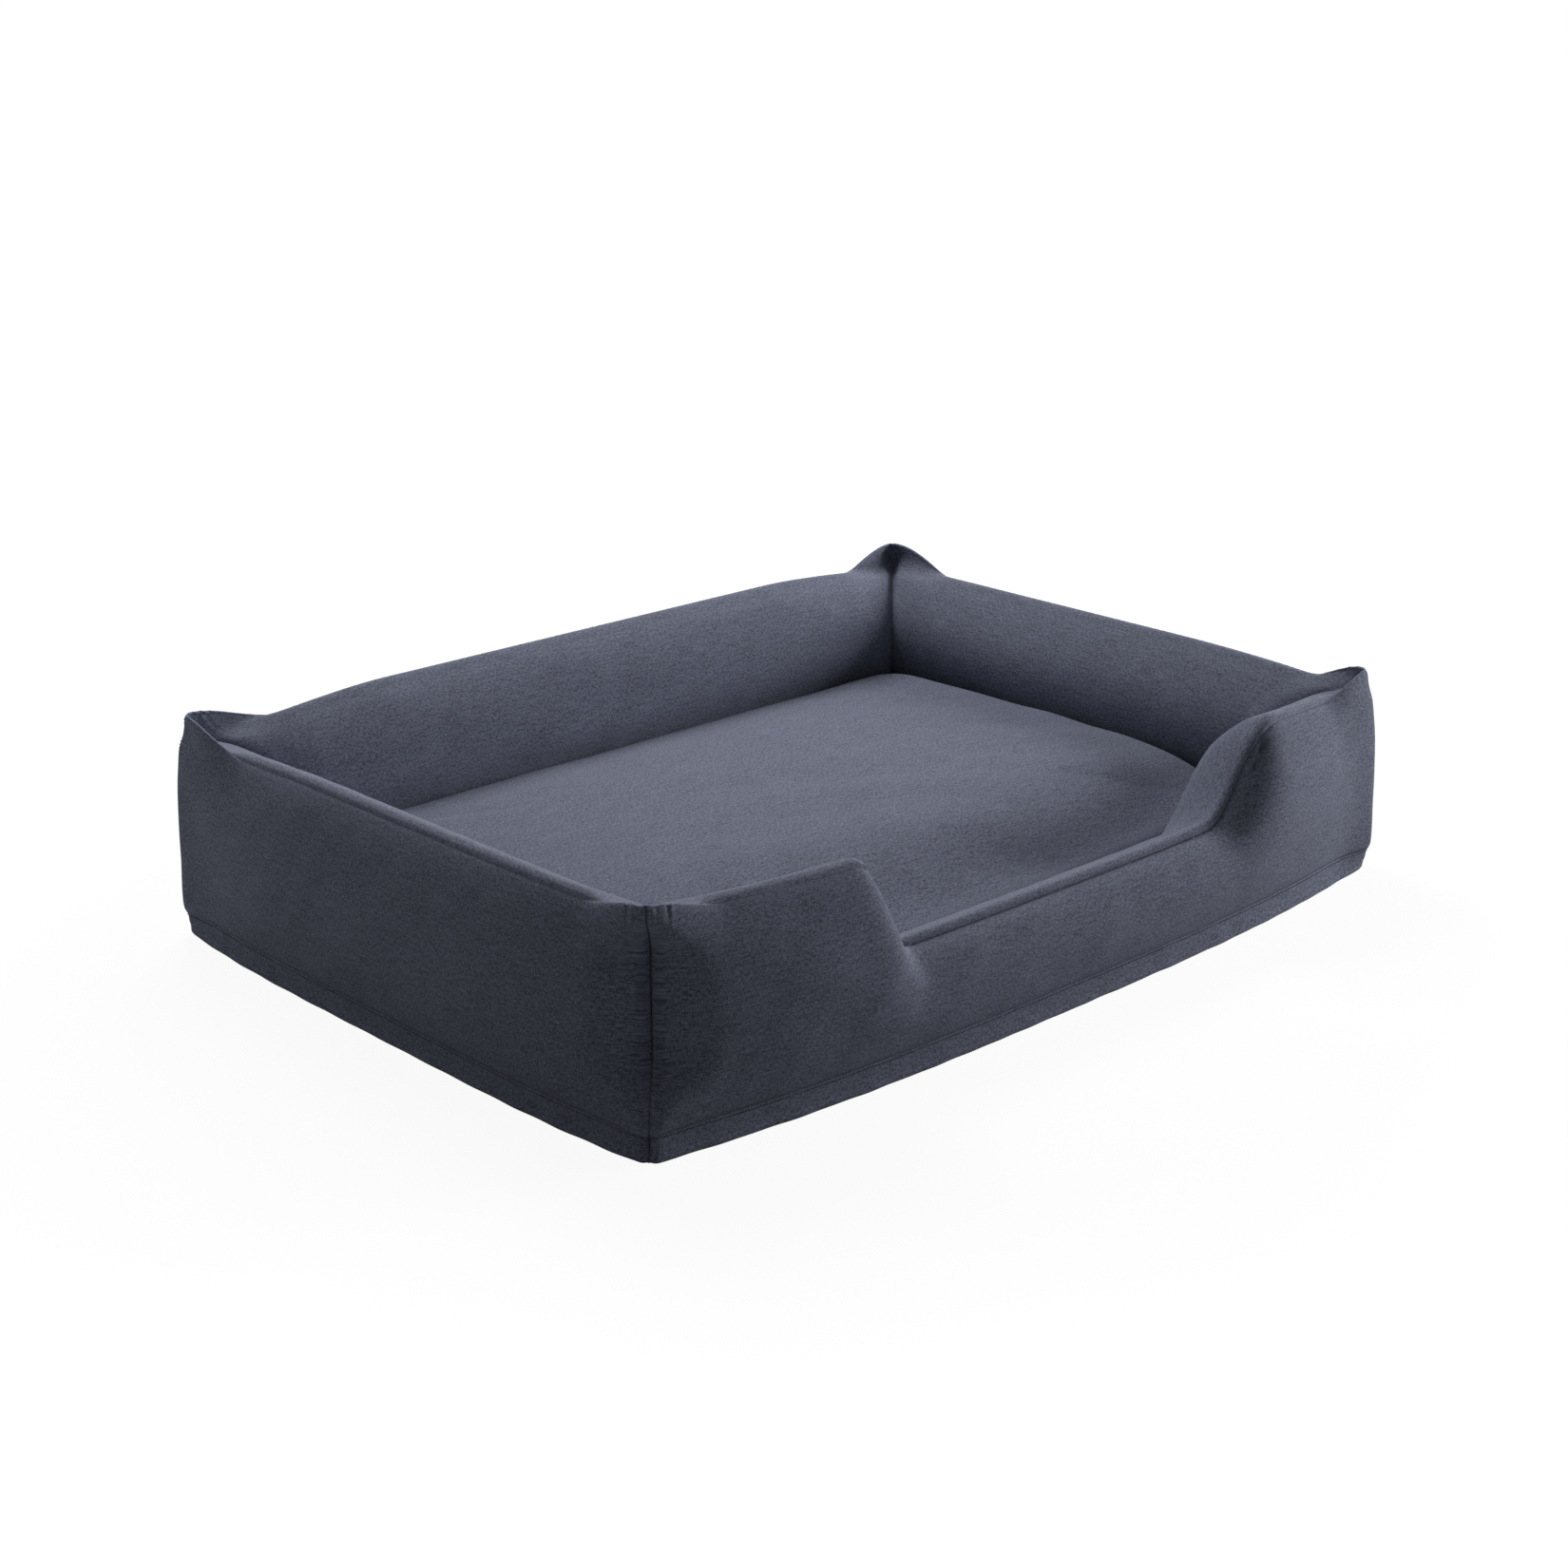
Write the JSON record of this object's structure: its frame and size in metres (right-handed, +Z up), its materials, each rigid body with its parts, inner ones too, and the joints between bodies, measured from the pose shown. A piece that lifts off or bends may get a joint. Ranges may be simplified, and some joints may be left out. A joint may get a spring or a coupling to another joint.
{
  "type": "inflatable dog bed",
  "caption": "Rectangular inflatable dog bed with soft raised walls, pinched corner peaks, a low front entry and a crowned lift-out mattress.",
  "frame": {"origin": "centre of the base rectangle between the four bottom corners, on the floor", "axes": "+X along the bed's length, to the right seen from the front; +Y to the back wall; +Z up; the low entry is in the wall at -Y"},
  "size_m": [1.1606, 0.8336, 0.256],
  "materials": {
    "cover_cloth": "matte",
    "chamber_film": "satin",
    "zip_tape": "matte",
    "zip_plastic": "satin",
    "dark_metal": "satin",
    "spring_steel": "satin",
    "valve_plastic": "satin"
  },
  "bodies": {
    "bed": {"air_links": "chamber_film", "base_band_back": "cover_cloth", "base_band_front": "cover_cloth", "base_band_left": "cover_cloth", "base_band_right": "cover_cloth", "base_panel": "cover_cloth", "inner_panel_back": "cover_cloth", "inner_panel_front": "cover_cloth", "inner_panel_left": "cover_cloth", "inner_panel_right": "cover_cloth", "outer_panel_back": "cover_cloth", "outer_panel_front": "cover_cloth", "outer_panel_left": "cover_cloth", "outer_panel_right": "cover_cloth", "wall_chamber_back": "chamber_film", "wall_chamber_front": "chamber_film", "wall_chamber_left": "chamber_film", "wall_chamber_right": "chamber_film", "wall_valve_body": "valve_plastic", "wall_valve_pin": "spring_steel", "wall_valve_spring": "spring_steel", "wall_webs_back": "chamber_film", "wall_webs_front": "chamber_film", "wall_webs_left": "chamber_film", "wall_webs_right": "chamber_film", "zip_stops": "zip_plastic", "zip_tape_lower": "zip_tape", "zip_tape_upper": "zip_tape", "zip_teeth_lower": "zip_plastic", "zip_teeth_upper": "zip_plastic"},
    "mattress": {"mattress_chamber": "chamber_film", "mattress_cover_bottom": "cover_cloth", "mattress_cover_top": "cover_cloth", "mattress_valve_body": "valve_plastic", "mattress_valve_spring": "spring_steel", "mattress_webs": "chamber_film"},
    "zip_slider": {"zip_slider": "dark_metal"},
    "zip_pull": {"zip_pull": "dark_metal"},
    "wall_valve_poppet": {"wall_valve_poppet": "valve_plastic"},
    "wall_valve_lid": {"wall_valve_lid": "valve_plastic"},
    "mattress_valve_poppet": {"mattress_valve_poppet": "valve_plastic"},
    "mattress_valve_cap": {"mattress_valve_cap": "valve_plastic"}
  },
  "joints": [
    {"name": "mattress_lift", "type": "slide", "parent": "bed", "child": "mattress", "axis": [0, 0, 1], "range_m": [0, 0.3]},
    {"name": "zip_slide", "type": "slide", "parent": "bed", "child": "zip_slider", "axis": [-1, 0, 0], "range_m": [0, 0.82]},
    {"name": "zip_pull_swing", "type": "hinge", "parent": "zip_slider", "child": "zip_pull", "pos_m": [0.414, 0.3887, 0.016], "axis": [0, 0, -1], "range_deg": [0, 170]},
    {"name": "wall_lid_hinge", "type": "hinge", "parent": "bed", "child": "wall_valve_lid", "pos_m": [0.3, 0.4029, 0.13578], "axis": [1, 0, 0], "range_deg": [0, 140]},
    {"name": "wall_poppet_press", "type": "slide", "parent": "bed", "child": "wall_valve_poppet", "axis": [0, -1, 0], "range_m": [0, 0.004], "stiffness_N_per_m": 400, "springref_m": -0.003, "deforming": ["wall_valve_spring"]},
    {"name": "mattress_poppet_press", "type": "slide", "parent": "mattress", "child": "mattress_valve_poppet", "axis": [0, 0, 1], "range_m": [0, 0.004], "stiffness_N_per_m": 400, "springref_m": -0.003, "deforming": ["mattress_valve_spring"]},
    {"name": "mattress_cap_turn", "type": "hinge", "parent": "mattress", "child": "mattress_valve_cap", "pos_m": [0.28, -0.15, 0.0023], "axis": [0, 0, 1], "range_deg": [0, 90]}
  ]
}
